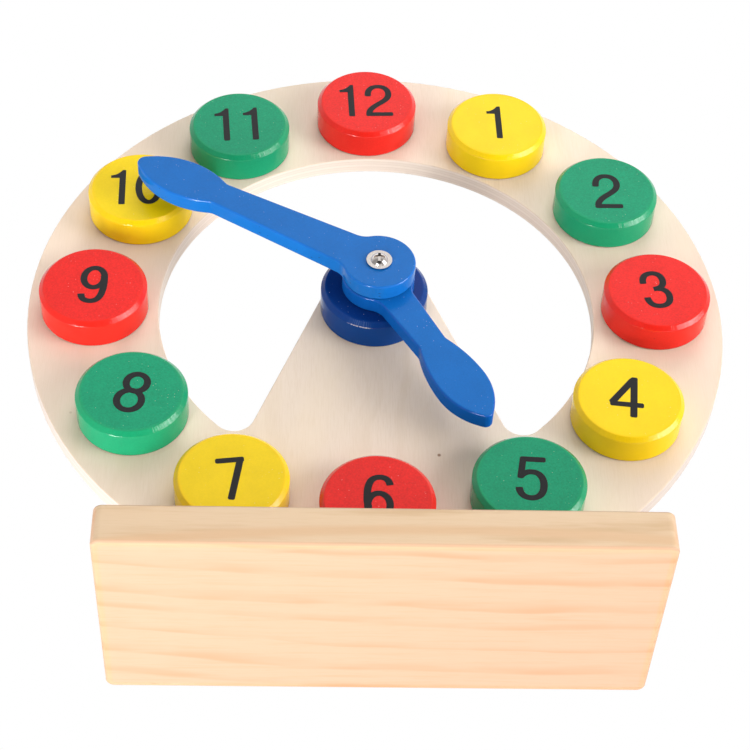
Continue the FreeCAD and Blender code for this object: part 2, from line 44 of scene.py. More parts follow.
MM = 0.001
HOURS = range(1, 13)
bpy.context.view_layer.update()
PLATE_LOW, PLATE_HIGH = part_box("dial_plate")
DIAL_MIDDLE = (PLATE_LOW + PLATE_HIGH) / 2


# ---------------------------------------------------------------- colours, as they look on screen

def srgb(red, green, blue):
    """A screen colour, 0 to 255 a channel, as the linear colour that a shader takes."""
    def linear(value):
        share = value / 255
        return share / 12.92 if share <= 0.04045 else ((share + 0.055) / 1.055) ** 2.4
    return (linear(red), linear(green), linear(blue), 1.0)


PLY_FACE = srgb(234, 217, 199)
PLY_HEART = srgb(226, 203, 184)
PLY_STREAK = srgb(222, 202, 178)
PLY_BAND = srgb(240, 222, 196)
PLY_EDGE_PALE = srgb(223, 210, 201)
PLY_EDGE_DARK = srgb(196, 172, 150)
PLY_BORE = srgb(239, 223, 209)
PLY_ARRIS = srgb(208, 180, 152)
PLY_KNOT = srgb(150, 108, 72)
PINE_PALE = srgb(215, 178, 148)
PINE_RING = srgb(206, 156, 118)
PINE_FIBRE = srgb(205, 163, 126)
# The front's colour, duller and darker than the rest: painted shade.
PINE_FRONT_SHADED = srgb(211, 186, 154)
PINE_STREAK = srgb(192, 160, 122)
PINE_BAND = srgb(206, 172, 135)
# The long edges' colour, darker: painted shade.
PINE_ARRIS_SHADE = srgb(192, 158, 130)
DOWEL_PALE, DOWEL_DARK = srgb(236, 210, 170), srgb(212, 176, 130)
# Each paint's side colour is paler than its face: painted sheen, standing in for part of the reflection on
# the side.
RED_FACE, RED_SIDE = srgb(219, 31, 25), srgb(222, 43, 33)
YELLOW_FACE, YELLOW_SIDE = srgb(235, 202, 6), srgb(240, 203, 20)
GREEN_FACE, GREEN_SIDE = srgb(10, 140, 100), srgb(30, 152, 106)
BLUE_FACE, BLUE_SIDE = srgb(14, 98, 174), srgb(22, 110, 194)
# The hour hand's side, darker than the minute hand's: painted shade.
BLUE_SIDE_SHADED = srgb(14, 92, 180)
NAVY_FACE, NAVY_SIDE = srgb(10, 49, 117), srgb(16, 64, 134)
# The pale colour is that of real dust specks and also of the hub's painted glint line; the dark one is that
# of chips.
DUST_AND_GLINT, CHIP = srgb(255, 250, 240), srgb(30, 30, 30)
# The pale blue of the hub's painted glint, and the brown of the painted shade where a turned piece stands.
GLINT_BLUE, SEAT = srgb(120, 150, 190), srgb(116, 84, 56)
INK, INK_THIN = srgb(22, 22, 24), srgb(74, 72, 74)
STEEL, STEEL_DULL = srgb(238, 230, 224), srgb(206, 198, 192)
FLOOR_GREY = srgb(232, 232, 232)
WHITE = (1.0, 1.0, 1.0, 1.0)


# ---------------------------------------------------------------- node graph helpers

SPECK_CORE = 0.55


class Graph:
    """Short ways to add nodes to a material or world.

    A value that is given to a node may be a number or the output of another node.
    """

    def __init__(self, owner, output_kind):
        owner.use_nodes = True
        self.tree = owner.node_tree
        self.tree.nodes.clear()
        self.output = self.tree.nodes.new(f"ShaderNode{output_kind}")

    def node(self, kind, values=None, **settings):
        """A new node. Its settings go first, because some of them choose which sockets it has."""
        made = self.tree.nodes.new(f"ShaderNode{kind}")
        for key, value in settings.items():
            setattr(made, key, value)
        for key, value in (values or {}).items():
            self.feed(made.inputs[key], value)
        return made

    def feed(self, socket, value):
        if isinstance(value, bpy.types.NodeSocket):
            self.tree.links.new(value, socket)
        else:
            socket.default_value = value

    def surface(self, shader):
        self.tree.links.new(shader.outputs[0], self.output.inputs["Surface"])

    # numbers

    def math(self, operation, first, second=0.0, third=0.0):
        made = self.node("Math", operation=operation)
        for socket, value in zip(made.inputs, (first, second, third)):
            self.feed(socket, value)
        return made.outputs[0]

    def times(self, first, *others):
        for other in others:
            first = self.math("MULTIPLY", first, other)
        return first

    def plus(self, first, *others):
        for other in others:
            first = self.math("ADD", first, other)
        return first

    def minus(self, first, second):
        return self.math("SUBTRACT", first, second)

    def apart(self, first, second):
        """How far apart two numbers are."""
        return self.math("ABSOLUTE", self.minus(first, second))

    def hypotenuse(self, x, y):
        return self.math("SQRT", self.math("MULTIPLY_ADD", x, x, self.times(y, y)))

    def ramp(self, value, start, end, low=0.0, high=1.0):
        """Eased from low, at start, to high, at end."""
        values = {"Value": value, "From Min": start, "From Max": end, "To Min": low, "To Max": high}
        return self.node("MapRange", values, interpolation_type="SMOOTHSTEP").outputs["Result"]

    def between(self, value, rise, fall):
        """0, then 1, then 0 again. Rise and fall are each the pair of values where it starts and ends."""
        fall_start, fall_end = fall
        return self.times(self.ramp(value, *rise), self.ramp(value, fall_end, fall_start))

    def choose(self, switch, when_off, when_on):
        """One of two numbers, by a switch that is 0 or 1."""
        values = {"Value": switch, "To Min": when_off, "To Max": when_on}
        return self.node("MapRange", values).outputs["Result"]

    # places and directions

    def vector(self, operation, first, second=(0, 0, 0), scale=None):
        made = self.node("VectorMath", operation=operation)
        self.feed(made.inputs[0], first)
        if scale is None:
            self.feed(made.inputs[1], second)
        else:
            self.feed(made.inputs["Scale"], scale)
        return made.outputs[0]

    def split(self, vector):
        made = self.node("SeparateXYZ", {"Vector": vector})
        return made.outputs["X"], made.outputs["Y"], made.outputs["Z"]

    def join(self, x, y, z):
        return self.node("CombineXYZ", {"X": x, "Y": y, "Z": z}).outputs[0]

    def millimetres(self):
        """The surface's place in the row frame, in millimetres, moving with its body."""
        place = self.node("TexCoord").outputs["Object"]
        return self.vector("SCALE", place, scale=1 / MM)

    def facing(self):
        """How far the surface faces along each axis, from 0 to 1."""
        normal = self.node("TexCoord").outputs["Normal"]
        return [self.math("ABSOLUTE", part) for part in self.split(normal)]

    def distance(self, place, centre):
        """How many millimetres a place is from a centre in metres, as seen from the front."""
        x, _, z = self.split(place)
        return self.hypotenuse(self.minus(x, centre.x / MM), self.minus(z, centre.z / MM))

    # patterns

    def noise(self, vector, scale, detail=2.0, roughness=0.5):
        values = {"Vector": vector, "Scale": scale, "Detail": detail, "Roughness": roughness}
        return self.node("TexNoise", values).outputs["Fac"]

    def noise_line(self, value, scale, detail=2.0, roughness=0.5):
        """Noise along one number, such as an angle."""
        values = {"W": value, "Scale": scale, "Detail": detail, "Roughness": roughness}
        return self.node("TexNoise", values, noise_dimensions="1D").outputs["Fac"]

    def grain(self, place, per_mm, detail=2.0, roughness=0.5):
        """Noise that is drawn out along the axes where it changes fewer times in a millimetre."""
        return self.noise(self.vector("MULTIPLY", place, per_mm), 1.0, detail, roughness)

    def specks(self, vector, scale, size, share):
        """1 inside small round specks. Only a share of the cells of this scale holds one."""
        cells = self.node("TexVoronoi", {"Vector": vector, "Scale": scale, "Randomness": 1.0})
        chance = self.split(cells.outputs["Color"])[0]
        here = self.math("LESS_THAN", chance, share)
        disc = self.ramp(cells.outputs["Distance"], size, size * SPECK_CORE)
        return self.times(here, disc)

    # colour and relief

    def mix(self, factor, first, second):
        made = self.node("Mix", data_type="RGBA")
        colours = [socket for socket in made.inputs if socket.type == "RGBA"]
        self.feed(made.inputs[0], factor)
        self.feed(colours[0], first)
        self.feed(colours[1], second)
        return next(socket for socket in made.outputs if socket.type == "RGBA")

    def bump(self, height, distance, strength=1.0, normal=None):
        """A relief where a height of 1 is this distance in metres, on top of a normal if one is given."""
        made = self.node("Bump", {"Height": height, "Distance": distance, "Strength": strength})
        if normal is not None:
            self.feed(made.inputs["Normal"], normal)
        return made.outputs["Normal"]


class Paint(Graph):
    """The nodes of one material."""

    def __init__(self, name):
        self.material = bpy.data.materials.new(name)
        super().__init__(self.material, "OutputMaterial")

    def finish(self, **inputs):
        values = {key.replace("_", " "): value for key, value in inputs.items()}
        self.surface(self.node("BsdfPrincipled", values))
        return self.material


# ---------------------------------------------------------------- pine

# Growth lines: their pitch in millimetres, and how far they lean with the height, sway, spread and bow.
RING_PITCH = 10.5
RING_SLANT = 0.9
RING_SWAY = 9.0
RING_UNEVEN = 0.9
RING_BOW = 0.0005
RING_BOW_MIDDLE = 60.0

# The darker band on the foot's front: it is highest at BAND_TOP_X and bows down to both sides.
BAND_BOW = -0.0007
BAND_TOP_X, BAND_TOP_Z = 14.0, 5.0
BAND_CORE, BAND_HALF = 0.4, 2.4


def growth_lines(g, place):
    """Late wood, from 0 to 1: lines along X that bow and sway, unevenly far apart."""
    x, y, z = g.split(place)
    sway = g.times(g.minus(g.grain(place, (0.014, 0.03, 0.03)), 0.5), RING_SWAY)
    along = g.minus(x, RING_BOW_MIDDLE)
    bow = g.times(along, along, RING_BOW)
    across = g.plus(y, g.times(z, RING_SLANT), bow, sway)
    count = g.times(across, 1 / RING_PITCH)
    uneven = g.times(g.noise_line(count, 0.9, 1.0), RING_UNEVEN)
    phase = g.math("FRACT", g.plus(count, uneven))
    return g.between(phase, rise=(0.5, 0.9), fall=(0.9, 1.0))


def pine_front_shaded(g, place, fibre):
    """The colour of the foot's front: duller and a little darker than the rest, painted shade, with streaks
    and one bowed darker band.
    """
    x, _, z = g.split(place)
    blotch = g.grain(place, (0.022, 0.16, 0.3), 3.0, 0.6)
    colour = g.mix(g.ramp(blotch, 0.46, 0.72, 0.0, 0.8), PINE_FRONT_SHADED, PINE_STREAK)
    aside = g.minus(x, BAND_TOP_X)
    band_z = g.math("MULTIPLY_ADD", g.times(aside, aside), BAND_BOW, BAND_TOP_Z)
    band = g.ramp(g.apart(z, band_z), BAND_HALF, BAND_CORE, 0.0, 0.85)
    colour = g.mix(band, colour, PINE_BAND)
    return g.mix(g.ramp(fibre, 0.45, 0.8, 0.0, 0.25), colour, PINE_STREAK)


def make_pine():
    """Flat-sawn pine: soft growth lines along X, fine fibre, a duller, darker front that is painted shade,
    and long edges darkened as painted shade.
    """
    g = Paint("pine_wood")
    place = g.millimetres()
    _, facing_y, facing_z = g.facing()
    late = growth_lines(g, place)
    fibre = g.grain(place, (0.12, 2.6, 2.6), 3.0, 0.6)
    long_fibre = g.grain(place, (0.03, 0.55, 0.55), 3.0, 0.6)
    strength = g.ramp(g.grain(place, (0.03, 0.14, 0.14)), 0.3, 0.66, 0.12, 0.74)

    colour = g.mix(g.times(late, strength), PINE_PALE, PINE_RING)
    colour = g.mix(g.ramp(long_fibre, 0.45, 0.78, 0.0, 0.5), colour, PINE_FIBRE)
    colour = g.mix(g.ramp(fibre, 0.45, 0.8, 0.0, 0.45), colour, PINE_FIBRE)
    # The front takes a duller, darker colour: painted shade.
    front = g.ramp(facing_y, 0.6, 0.95, 0.0, 0.9)
    colour = g.mix(front, colour, pine_front_shaded(g, place, fibre))
    # The long edges are darkened: painted shade that takes back the light they catch.
    arris = g.times(g.ramp(facing_y, 0.1, 0.45), g.ramp(facing_z, 0.1, 0.45), 0.85)
    colour = g.mix(arris, colour, PINE_ARRIS_SHADE)

    height = g.plus(fibre, g.times(late, 0.4))
    return g.finish(
        Base_Color=colour,
        Roughness=g.ramp(fibre, 0.2, 0.8, 0.62, 0.5),
        Normal=g.bump(height, 0.05 * MM, 0.35),
    )


# ---------------------------------------------------------------- plywood and dowel

PLIES = 5
PLY_PITCH = (PLATE_HIGH.y - PLATE_LOW.y) / MM / PLIES
PLY_DRIFT = 26.0
KNOT_CORE = 0.32

# Millimetres from the dial's middle, over which the warmer tint of the sides and the paler bore set in.
HEART_START, HEART_END = 32.0, 92.0
BORE_START, BORE_END = 90.0, 75.0

# Each pin knot: its middle, its radius in millimetres and how dark it is, from 0 to 1.
PIN_KNOTS = [
    (DIAL_MIDDLE + Vector((17.0, 0.0, -56.5)) * MM, 0.72, 0.9),
    (DIAL_MIDDLE + Vector((-88.2, 0.0, -42.8)) * MM, 0.6, 0.3),
]


def plywood_face(g, place, fine):
    """Fine upright grain in drifting bands, with a warmer tint towards both sides of the dial."""
    x, _, _ = g.split(place)
    warp = g.grain(place, (0.05, 0.0, 0.018))
    drifted = g.vector("ADD", place, g.join(g.times(warp, PLY_DRIFT), 0.0, 0.0))
    bands = g.grain(drifted, (0.16, 0.1, 0.006), 3.0, 0.55)
    clouds = g.grain(place, (0.05, 0.05, 0.02))
    heart = g.ramp(g.math("ABSOLUTE", x), HEART_START, HEART_END, 0.0, 0.45)
    colour = g.mix(heart, PLY_FACE, PLY_HEART)
    colour = g.mix(g.ramp(fine, 0.40, 0.70, 0.0, 0.48), colour, PLY_STREAK)
    colour = g.mix(g.ramp(bands, 0.52, 0.72, 0.0, 0.38), colour, PLY_STREAK)
    colour = g.mix(g.ramp(clouds, 0.45, 0.7, 0.0, 0.35), colour, PLY_BAND)
    for knot, radius, darkness in PIN_KNOTS:
        dot = g.ramp(g.distance(place, knot), radius, radius * KNOT_CORE, 0.0, darkness)
        colour = g.mix(dot, colour, PLY_KNOT)
    return colour


def plywood_edge(g, place, grain):
    """Stacked plies with crossing grain and thin glue lines, paler inside the dial's opening."""
    _, y, _ = g.split(place)
    plies = g.plus(g.times(y, 1 / PLY_PITCH), 0.5)
    glue = g.ramp(g.apart(g.math("FRACT", plies), 0.5), 0.34, 0.5, 0.0, 0.30)
    odd = g.math("MODULO", g.math("ABSOLUTE", g.math("FLOOR", plies)), 2.0)
    bore = g.ramp(g.distance(place, DIAL_MIDDLE), BORE_START, BORE_END)
    colour = g.mix(bore, PLY_EDGE_PALE, PLY_BORE)
    colour = g.mix(g.times(odd, 0.14), colour, PLY_EDGE_DARK)
    colour = g.mix(g.ramp(grain, 0.45, 0.8, 0.0, 0.16), colour, PLY_EDGE_DARK)
    return g.mix(glue, colour, PLY_EDGE_DARK)


def make_plywood():
    """Birch plywood: one veneer on the faces, the stacked plies on the edges, and a darker arris."""
    g = Paint("birch_plywood")
    place = g.millimetres()
    facing_y = g.facing()[1]
    on_face = g.ramp(facing_y, 0.55, 0.8)
    fine = g.grain(place, (2.8, 0.4, 0.16), 4.0, 0.7)
    crossing = g.grain(place, (0.9, 6.0, 0.9), 3.0, 0.6)
    colour = g.mix(on_face, plywood_edge(g, place, crossing), plywood_face(g, place, fine))
    arris = g.times(g.between(facing_y, rise=(0.2, 0.45), fall=(0.85, 0.98)), 0.45)
    colour = g.mix(arris, colour, PLY_ARRIS)

    height = g.mix(on_face, g.join(crossing, crossing, crossing), g.join(fine, fine, fine))
    return g.finish(
        Base_Color=colour,
        Roughness=g.ramp(fine, 0.2, 0.8, 0.6, 0.48),
        Normal=g.bump(g.node("RGBToBW", {"Color": height}).outputs[0], 0.05 * MM, 0.3),
    )


def make_dowel():
    """Turned beech pegs, with the grain along Y and a darker open end."""
    g = Paint("beech_dowel")
    place = g.millimetres()
    fibre = g.grain(place, (1.8, 0.12, 1.8), 3.0, 0.6)
    end = g.ramp(g.facing()[1], 0.6, 0.9)
    pores = g.noise(place, 3.2, 3.0, 0.7)
    grain = g.plus(g.times(fibre, 0.7), g.times(pores, end, 0.5))
    colour = g.mix(g.ramp(grain, 0.3, 0.75), DOWEL_PALE, DOWEL_DARK)
    return g.finish(Base_Color=colour, Roughness=0.6, Normal=g.bump(grain, 0.05 * MM, 0.4))


# ---------------------------------------------------------------- paint

# The chamfer carries less of the side's painted sheen, as it shines more itself, so it is a little deeper in
# colour than the side: each of its channels has this power.
CHAMFER_POWER = 1.08

# Specks: how many cells lie in a millimetre, a speck's size in its cell, and the share of cells with one.
COARSE_DUST, COARSE_DUST_STRENGTH = (0.42, 0.06, 0.11), 0.26
FINE_DUST, FINE_DUST_STRENGTH = (1.1, 0.16, 0.28), 0.28
CHIPS, CHIP_STRENGTH = (0.16, 0.035, 0.06), 0.5
CHIP_SHIFT = (37.0, 11.0, 5.0)
DENTS, DENT_STRETCH = (1.0, 0.20, 0.16), (0.45, 1.3, 0.45)

# Patterns round a turned piece, by the angle about its axis.
LATHE_TICKS, GLINT_STREAKS, LINE_BREAKS = 27.0, 60.0, 34.0
# The hub's painted glint: the angle of its middle and, in radians, where its streaks on the chamfer and its
# line on the arris fade out and where they are full.
GLINT_ANGLE = math.radians(-163)
GLINT_HALF, GLINT_CORE = 0.30, 0.04
LINE_HALF, LINE_CORE = 0.27, 0.12

# Reliefs in metres, and how much more the arris and the ticks shine, as shares of the face's sheen.
PEEL_RELIEF = 0.04 * MM
TICK_RELIEF = 0.3 * MM
ARRIS_SHINE = 0.9
TICK_SHINE = 1.1


class Coat(Paint):
    """Gloss paint on wood, with the zones of the surface that it tells apart, each from 0 to 1.

    A turned piece is a disc about Y, whose face ends in a chamfer. A sawn one has rounded edges.
    """

    def __init__(self, name, turned):
        super().__init__(name)
        self.turned = turned
        self.place = self.millimetres()
        self.facing_y = self.facing()[1]
        in_box = self.node("TexCoord").outputs["Generated"]
        across, self.depth, up = self.split(self.vector("SUBTRACT", in_box, (0.5, 0.5, 0.5)))
        self.angle = self.math("ARCTAN2", across, up)
        self.on_side = self.ramp(self.facing_y, 0.5, 0.2)
        self.on_face = self.ramp(self.facing_y, 0.86, 0.97)
        self.on_chamfer = self.between(self.facing_y, rise=(0.5, 0.62), fall=(0.8, 0.95))
        self.on_arris = self.between(self.facing_y, rise=(0.1, 0.3), fall=(0.85, 0.97))
        if turned:
            inside_chamfer = self.ramp(self.hypotenuse(across, up), 0.462, 0.425)
            self.on_face = self.times(self.on_face, inside_chamfer)
            self.on_arris = self.between(self.facing_y, rise=(0.1, 0.3), fall=(0.5, 0.66))
        self.pores = self.noise(self.place, 1.8, 3.0, 0.6)
        self.ticks = self.noise_line(self.angle, LATHE_TICKS, 2.0, 0.7)

    def brushed(self, face, side, mottle):
        """The paint's colour on face, chamfer and side. The side's paler colour is painted sheen, and the
        chamfer holds less of it. Mottle is how much the wood's pores show in it on the face.
        """
        chamfer = tuple(channel ** CHAMFER_POWER for channel in side[:3]) + (1.0,)
        colour = self.mix(self.on_side, chamfer, side)
        colour = self.mix(self.on_face, colour, face)
        showing = self.times(self.ramp(self.on_face, 0.0, 1.0, 0.35, 1.0), mottle)
        grain = self.times(self.minus(self.pores, 0.5), showing)
        clouds = self.ramp(self.noise(self.place, 0.12), 0.3, 0.7, -0.03, 0.03)
        return self.vector("SCALE", colour, scale=self.plus(grain, 1.0, clouds))

    def dusted(self, colour):
        """Coarse and fine specks of dust in the face's paint, in drifts, and rare dark chips all over."""
        drift = self.ramp(self.noise(self.place, 0.16, 1.0), 0.4, 0.65, 0.1, 1.0)
        for kind, strength in ((COARSE_DUST, COARSE_DUST_STRENGTH), (FINE_DUST, FINE_DUST_STRENGTH)):
            dust = self.times(self.specks(self.place, *kind), self.on_face)
            colour = self.mix(self.times(dust, drift, strength), colour, DUST_AND_GLINT)
        chips = self.specks(self.vector("ADD", self.place, CHIP_SHIFT), *CHIPS)
        return self.mix(self.times(chips, CHIP_STRENGTH), colour, CHIP)

    def seated(self, colour):
        """A brown line of shade where the disc meets what it stands on."""
        return self.mix(self.ramp(self.depth, 0.44, 0.5, 0.0, 0.55), colour, SEAT)

    def painted_glint(self, colour, strength):
        """A painted glint: pale streaks on one stretch of the chamfer and a pale broken line of painted
        highlight on the arris below it.
        """
        off = self.apart(self.angle, GLINT_ANGLE)
        marks = self.ramp(self.noise_line(self.angle, GLINT_STREAKS, 2.0, 0.6), 0.42, 0.66)
        glint_patch = self.times(marks, self.ramp(off, GLINT_HALF, GLINT_CORE), self.on_chamfer)
        colour = self.mix(self.times(glint_patch, strength * 0.4), colour, GLINT_BLUE)
        broken = self.ramp(self.noise_line(self.angle, LINE_BREAKS, 2.0, 0.6), 0.36, 0.6)
        rim = self.between(self.facing_y, rise=(0.12, 0.25), fall=(0.5, 0.66))
        line = self.times(self.ramp(off, LINE_HALF, LINE_CORE), broken, rim)
        return self.mix(self.times(line, strength), colour, DUST_AND_GLINT)

    def scarred(self, colour, strength):
        """Small dark dents along the sawn sides."""
        dents = self.specks(self.vector("MULTIPLY", self.place, DENT_STRETCH), *DENTS)
        return self.mix(self.times(dents, self.on_side, strength), colour, CHIP)

    def relief(self):
        """Pores under a slight orange peel and, on a turned piece, lathe ticks across the chamfer."""
        peel = self.noise(self.place, 0.55)
        height = self.plus(self.times(self.pores, 0.5), self.times(peel, 1.2))
        normal = self.bump(height, PEEL_RELIEF, 0.2)
        if not self.turned:
            return normal
        return self.bump(self.times(self.ticks, self.on_chamfer), TICK_RELIEF, 0.3, normal)

    def shine(self, sheen, side_sheen):
        """The specular level: that of the side or the face, with more on the arris and the ticks."""
        flat = self.ramp(self.facing_y, 0.1, 0.5, side_sheen, sheen)
        level = self.math("MULTIPLY_ADD", self.on_arris, sheen * ARRIS_SHINE, flat)
        if not self.turned:
            return level
        combed = self.times(self.on_chamfer, self.ramp(self.ticks, 0.36, 0.64))
        return self.math("MULTIPLY_ADD", combed, sheen * TICK_SHINE, level)

    def roughness(self):
        """Smoothest on the sides, rougher on the arris and roughest on the face."""
        smooth = self.ramp(self.pores, 0.3, 0.8, 0.04, 0.09)
        edged = self.math("MULTIPLY_ADD", self.on_arris, 0.10, smooth)
        return self.math("MULTIPLY_ADD", self.on_face, 0.14, edged)


def make_paint(name, face, side, mottle, turned=True, sheen=0.30, side_sheen=0.12, glint_strength=0.0, scars=0.0):
    """A coat of paint: its face in one colour, its side in a paler one that holds painted sheen, with its
    wear, painted shade where a turned piece stands and, where asked, a painted glint.
    """
    g = Coat(name, turned)
    colour = g.dusted(g.brushed(face, side, mottle))
    if turned:
        colour = g.seated(colour)
    if glint_strength:
        colour = g.painted_glint(colour, glint_strength)
    if scars:
        colour = g.scarred(colour, scars)
    return g.finish(
        Base_Color=colour,
        Roughness=g.roughness(),
        Specular_IOR_Level=g.shine(sheen, side_sheen),
        Normal=g.relief(),
    )


# ---------------------------------------------------------------- ink and steel

def make_ink():
    """Printed numerals: charcoal ink that is slightly thin in places."""
    g = Paint("numeral_ink")
    grain = g.noise(g.millimetres(), 2.2, 3.0, 0.7)
    return g.finish(
        Base_Color=g.mix(g.ramp(grain, 0.55, 0.8, 0.0, 0.25), INK, INK_THIN),
        Roughness=0.36,
        Specular_IOR_Level=0.3,
        Normal=g.bump(grain, 0.03 * MM, 0.3),
    )


def make_steel():
    """Bright plated steel with fine scratches."""
    g = Paint("screw_steel")
    scratch = g.grain(g.millimetres(), (9.0, 2.0, 1.2), 3.0, 0.7)
    return g.finish(
        Base_Color=g.mix(g.ramp(scratch, 0.3, 0.8), STEEL, STEEL_DULL),
        Metallic=1.0,
        Roughness=g.ramp(scratch, 0.2, 0.8, 0.1, 0.22),
        Normal=g.bump(scratch, 0.03 * MM, 0.25),
    )


# ---------------------------------------------------------------- pen lines

PEN_ACROSS = 2.05
PEN_UP = 1.75
PEN_CORNER = 0.38
ARC_STEPS = 28
SAME_POINT = 1e-6


def arc(centre_x, centre_y, reach_x, reach_y, start, end):
    """Points on an ellipse, from a start to an end angle in degrees, anticlockwise when end is larger."""
    angles = [math.radians(start + (end - start) * i / ARC_STEPS) for i in range(ARC_STEPS + 1)]
    return [(centre_x + reach_x * math.cos(a), centre_y + reach_y * math.sin(a)) for a in angles]


def bezier(*corners):
    """Points on a cubic curve, from the first to the last of its four corners."""
    points = []
    for i in range(ARC_STEPS + 1):
        t = i / ARC_STEPS
        weights = ((1 - t) ** 3, 3 * t * (1 - t) ** 2, 3 * t * t * (1 - t), t ** 3)
        points.append(tuple(sum(w * c[axis] for w, c in zip(weights, corners)) for axis in (0, 1)))
    return points


def toward(start, end, run, reach):
    """The point that lies a reach along the line from start, where start to end measures run."""
    return tuple(at + (to - at) / run * reach for at, to in zip(start, end))


def blunt(first, second, inward):
    """The two corners of a pen line's end, cut off. The line runs from this end towards the point inward."""
    middle = ((first[0] + second[0]) / 2, (first[1] + second[1]) / 2)
    back = math.dist(middle, inward)
    width = math.dist(first, second)
    cut = min(PEN_CORNER, back * 0.6)
    step_x, step_y = ((to - at) / back * cut for at, to in zip(middle, inward))
    return [
        (first[0] + step_x, first[1] + step_y),
        toward(first, second, width, cut),
        toward(second, first, width, cut),
        (second[0] + step_x, second[1] + step_y),
    ]


def stroke(*runs, across=PEN_ACROSS, up=PEN_UP):
    """The outline of a pen line through the given points. The pen is wider across than up, as in print."""
    path = [point for run in runs for point in run]
    path = [p for i, p in enumerate(path) if i == 0 or math.dist(p, path[i - 1]) > SAME_POINT]
    left, right = [], []
    for i, (x, y) in enumerate(path):
        before, after = path[max(i - 1, 0)], path[min(i + 1, len(path) - 1)]
        run = math.dist(before, after)
        step_x = -(after[1] - before[1]) / run * across / 2
        step_y = (after[0] - before[0]) / run * up / 2
        left.append((x + step_x, y + step_y))
        right.append((x - step_x, y - step_y))
    tail = blunt(left[0], right[0], path[1])
    head = blunt(right[-1], left[-1], path[-2])
    return left[1:-1] + head[::-1] + right[1:-1][::-1] + tail[::-1]


def loop(centre_x, centre_y, reach_x, reach_y):
    """A closed loop of the pen, as two halves that overlap a little."""
    return [
        stroke(arc(centre_x, centre_y, reach_x, reach_y, -2, 182)),
        stroke(arc(centre_x, centre_y, reach_x, reach_y, 178, 362)),
    ]


# ---------------------------------------------------------------- digits

# The digits are about 15 mm tall, drawn about their own middle. TOP is the height of the pen's middle line
# at the top of a round or barred digit, and TIP that of the end of an upright.
TOP = 6.72
TIP = 7.6


def digit_one():
    """An upright with a small curved flag, as one outline."""
    stem_left, stem_right, soft = -0.1, 1.85, 0.25
    flag = [(0.1, 4.1), (-2.7, 4.1), (-2.75, 5.0)]
    brow = bezier((-2.75, 5.2), (-1.2, 5.3), (0.0, 6.3), (0.8, TIP))
    stem = [
        (1.7, TIP), (stem_right, 7.4),
        (stem_right, soft - TIP), (stem_right - soft, -TIP),
        (stem_left + soft, -TIP), (stem_left, soft - TIP),
        (stem_left, 4.1),
    ]
    return [flag + brow + stem]


def digit_two():
    curve = stroke(
        [(-3.35, 2.0)],
        bezier((-3.35, 2.6), (-3.35, 5.2), (-2.0, TOP), (0.05, TOP)),
        bezier((0.05, TOP), (2.1, TOP), (3.35, 5.2), (3.35, 3.0)),
        bezier((3.35, 3.0), (3.35, -1.2), (-2.9, -1.9), (-3.35, -6.4)),
    )
    return [curve, stroke([(-4.35, -TOP), (4.4, -TOP)])]


def digit_three():
    upper = stroke(
        [(-3.3, 2.7)],
        bezier((-3.3, 3.1), (-3.2, 5.4), (-1.9, TOP), (-0.1, TOP)),
        bezier((-0.1, TOP), (1.8, TOP), (2.8, 5.3), (2.8, 3.6)),
        bezier((2.8, 3.6), (2.8, 1.3), (1.5, 0.25), (-0.75, 0.25)),
    )
    lower = stroke(
        bezier((0.3, 0.25), (2.3, 0.15), (3.35, -1.2), (3.35, -2.95)),
        bezier((3.35, -2.95), (3.35, -5.3), (2.0, -TOP), (-0.1, -TOP)),
        bezier((-0.1, -TOP), (-2.3, -TOP), (-3.4, -5.3), (-3.45, -2.9)),
    )
    return [upper, lower]


def digit_four():
    return [
        stroke([(1.9, -7.35), (1.9, 7.65)]),
        stroke([(-4.9, -2.75), (4.8, -2.75)]),
        stroke([(-4.5, -2.6), (1.75, 6.95)], across=2.1, up=1.8),
    ]


def digit_five():
    bowl = stroke(
        bezier((-3.1, 0.5), (-2.3, 1.7), (-1.3, 2.3), (0.1, 2.3)),
        bezier((0.1, 2.3), (2.2, 2.3), (3.4, 0.5), (3.4, -2.1)),
        bezier((3.4, -2.1), (3.4, -5.0), (2.0, -TOP), (-0.1, -TOP)),
        bezier((-0.1, -TOP), (-2.1, -TOP), (-3.3, -5.4), (-3.45, -3.2)),
    )
    bar = stroke([(4.0, TOP), (-2.9, TOP)])
    stem = stroke([(-2.2, 7.5), (-3.05, -0.1)], across=1.85)
    return [bar, stem, bowl]


def digit_seven():
    return [
        stroke([(-3.5, 6.0), (4.5, 6.0)]),
        stroke([(3.5, 6.2), (-0.3, -TIP)], across=1.95),
    ]


def digit_nine():
    tail = stroke(
        arc(0.0, 0.6, 3.15, 6.1, 30, 0),
        bezier((3.15, 0.6), (3.15, -3.6), (2.6, -TOP), (-0.35, -TOP)),
        bezier((-0.35, -TOP), (-2.0, -TOP), (-2.9, -5.7), (-3.15, -4.0)),
    )
    return loop(-0.05, 2.75, 3.05, 3.95) + [tail]


def digit_shapes():
    """Outlines of each digit. The 6 is the 9 turned upside down."""
    nine = digit_nine()
    return {
        "0": loop(0.0, 0.0, 3.25, TOP),
        "1": digit_one(),
        "2": digit_two(),
        "3": digit_three(),
        "4": digit_four(),
        "5": digit_five(),
        "6": [[(-x, -y) for x, y in outline] for outline in nine],
        "7": digit_seven(),
        "8": loop(0.0, 3.55, 3.0, 3.2) + loop(-0.05, -3.15, 3.5, 3.65),
        "9": nine,
    }


# ---------------------------------------------------------------- numerals

INK_RISE = 0.05
INK_SINK = 0.03
EVERY_TRIANGLE = 0

